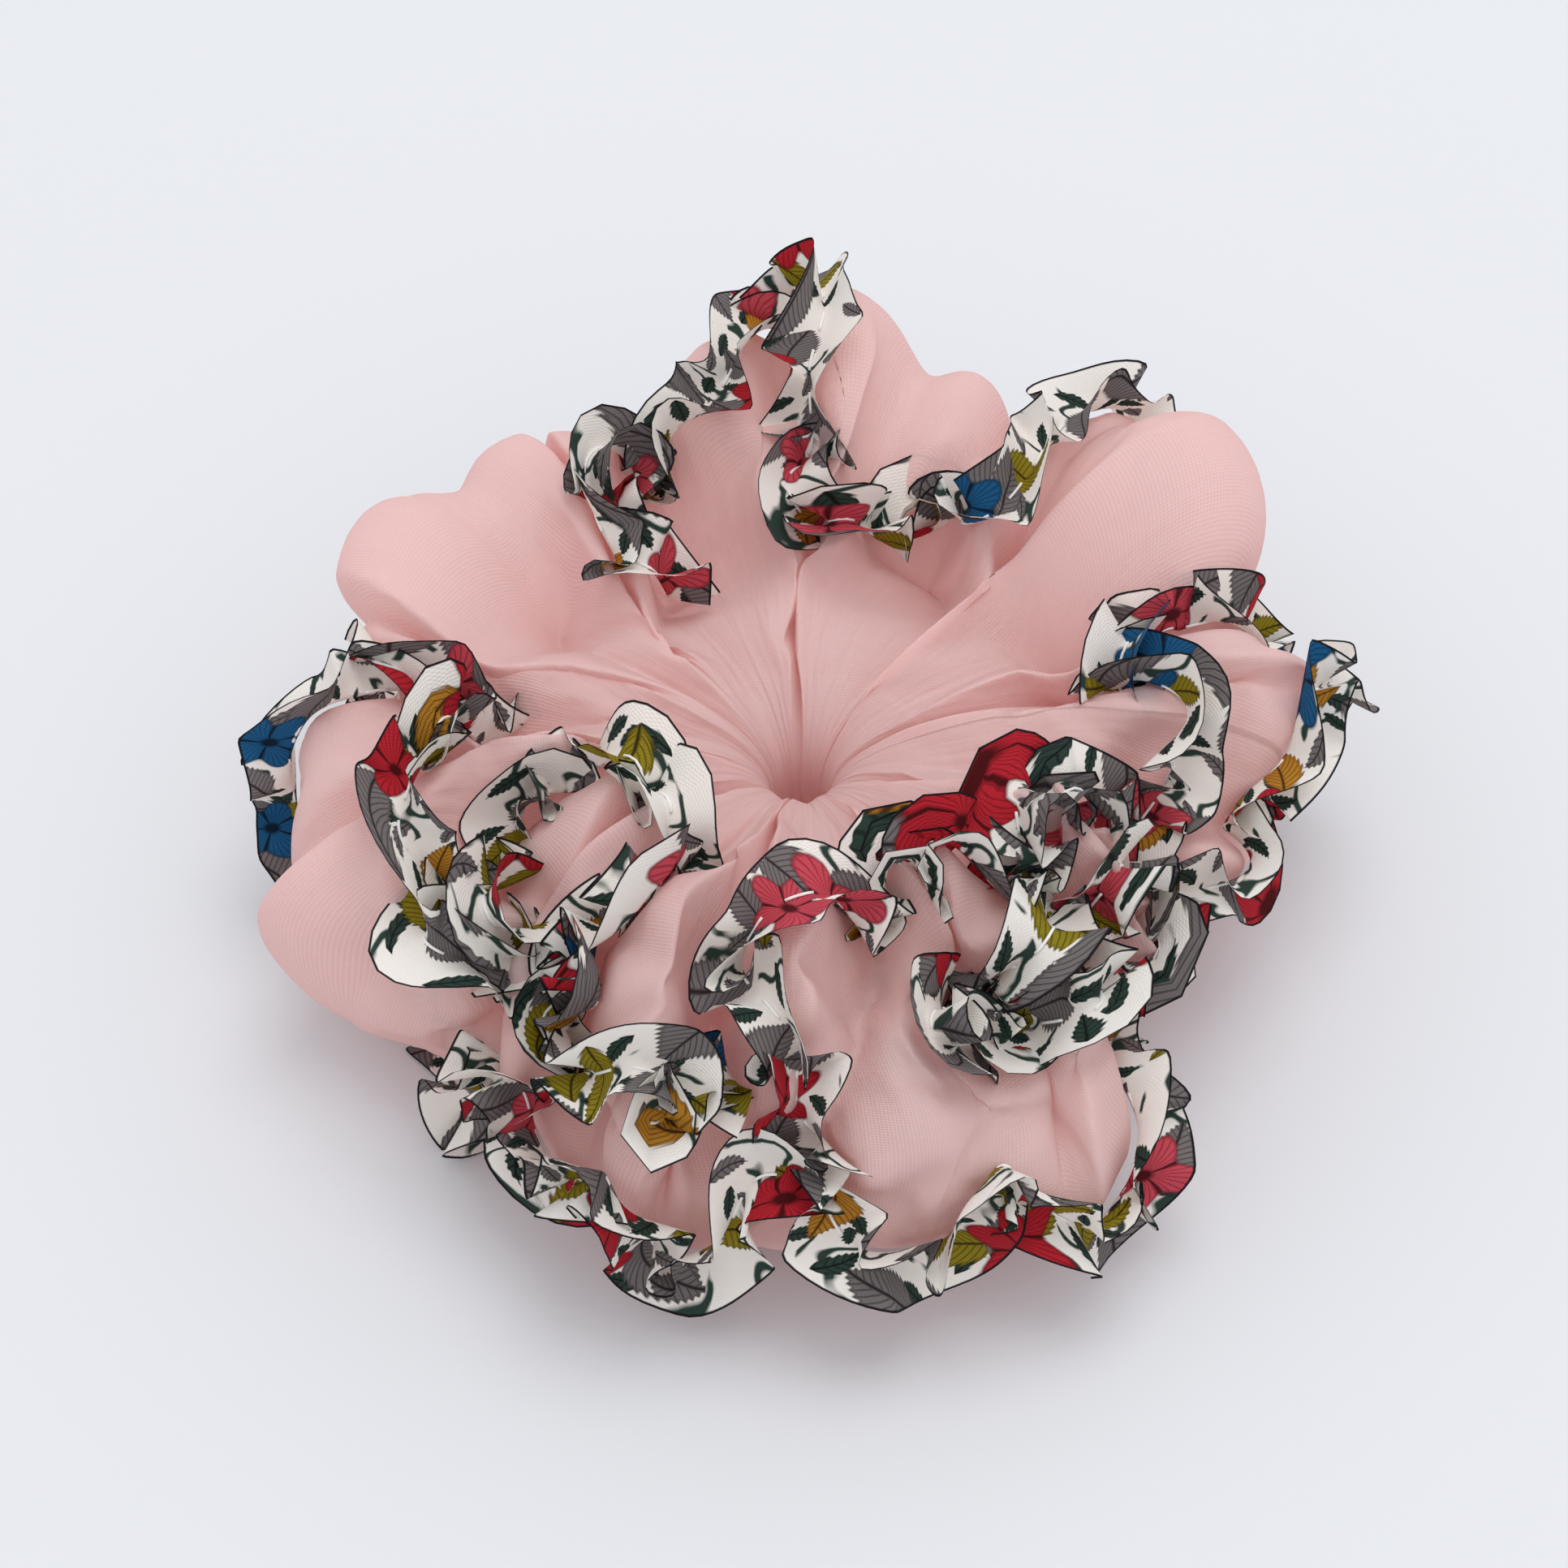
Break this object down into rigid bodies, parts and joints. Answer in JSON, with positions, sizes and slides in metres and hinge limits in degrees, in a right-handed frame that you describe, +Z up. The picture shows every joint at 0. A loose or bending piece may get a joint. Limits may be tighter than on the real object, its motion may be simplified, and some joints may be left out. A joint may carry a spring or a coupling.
{
  "type": "scrunchie",
  "caption": "Gathered sheer pink scrunchie on a stretch loop, its puffed rim edged with rows of ruffled floral ribbon",
  "frame": {"origin": "on the axis of the hair hole, at the level of the surface it lies on", "axes": "+Z up along the hair hole; +X to the right of the picture, the way the loop stretches; +Y away from the camera"},
  "size_m": [0.1503, 0.1577, 0.0593],
  "materials": {
    "chiffon": "sheer matt chiffon",
    "floral_ribbon": "plain-woven printed ribbon",
    "white_thread": "matt sewing thread",
    "pink_thread": "matt sewing thread",
    "elastic": "woven elastic"
  },
  "bodies": {
    "left_half": {"elastic_loop": "elastic", "elastic_tack": "white_thread", "cover_left": "chiffon", "tube_seam_left": "pink_thread", "front_seam": "pink_thread", "upper_trim_left": "floral_ribbon", "lower_trim_left": "floral_ribbon", "upper_stitch_left": "white_thread", "lower_stitch_left": "white_thread"},
    "right_half": {"cover_right": "chiffon", "tube_seam_right": "pink_thread", "back_seam": "pink_thread", "upper_trim_right": "floral_ribbon", "lower_trim_right": "floral_ribbon", "upper_stitch_right": "white_thread", "lower_stitch_right": "white_thread"}
  },
  "joints": [
    {"name": "loop_stretch", "type": "slide", "parent": "left_half", "child": "right_half", "axis": [1, 0, 0], "range_m": [0, 0.06], "stiffness_N_per_m": 60, "deforming": ["elastic_loop"]}
  ]
}
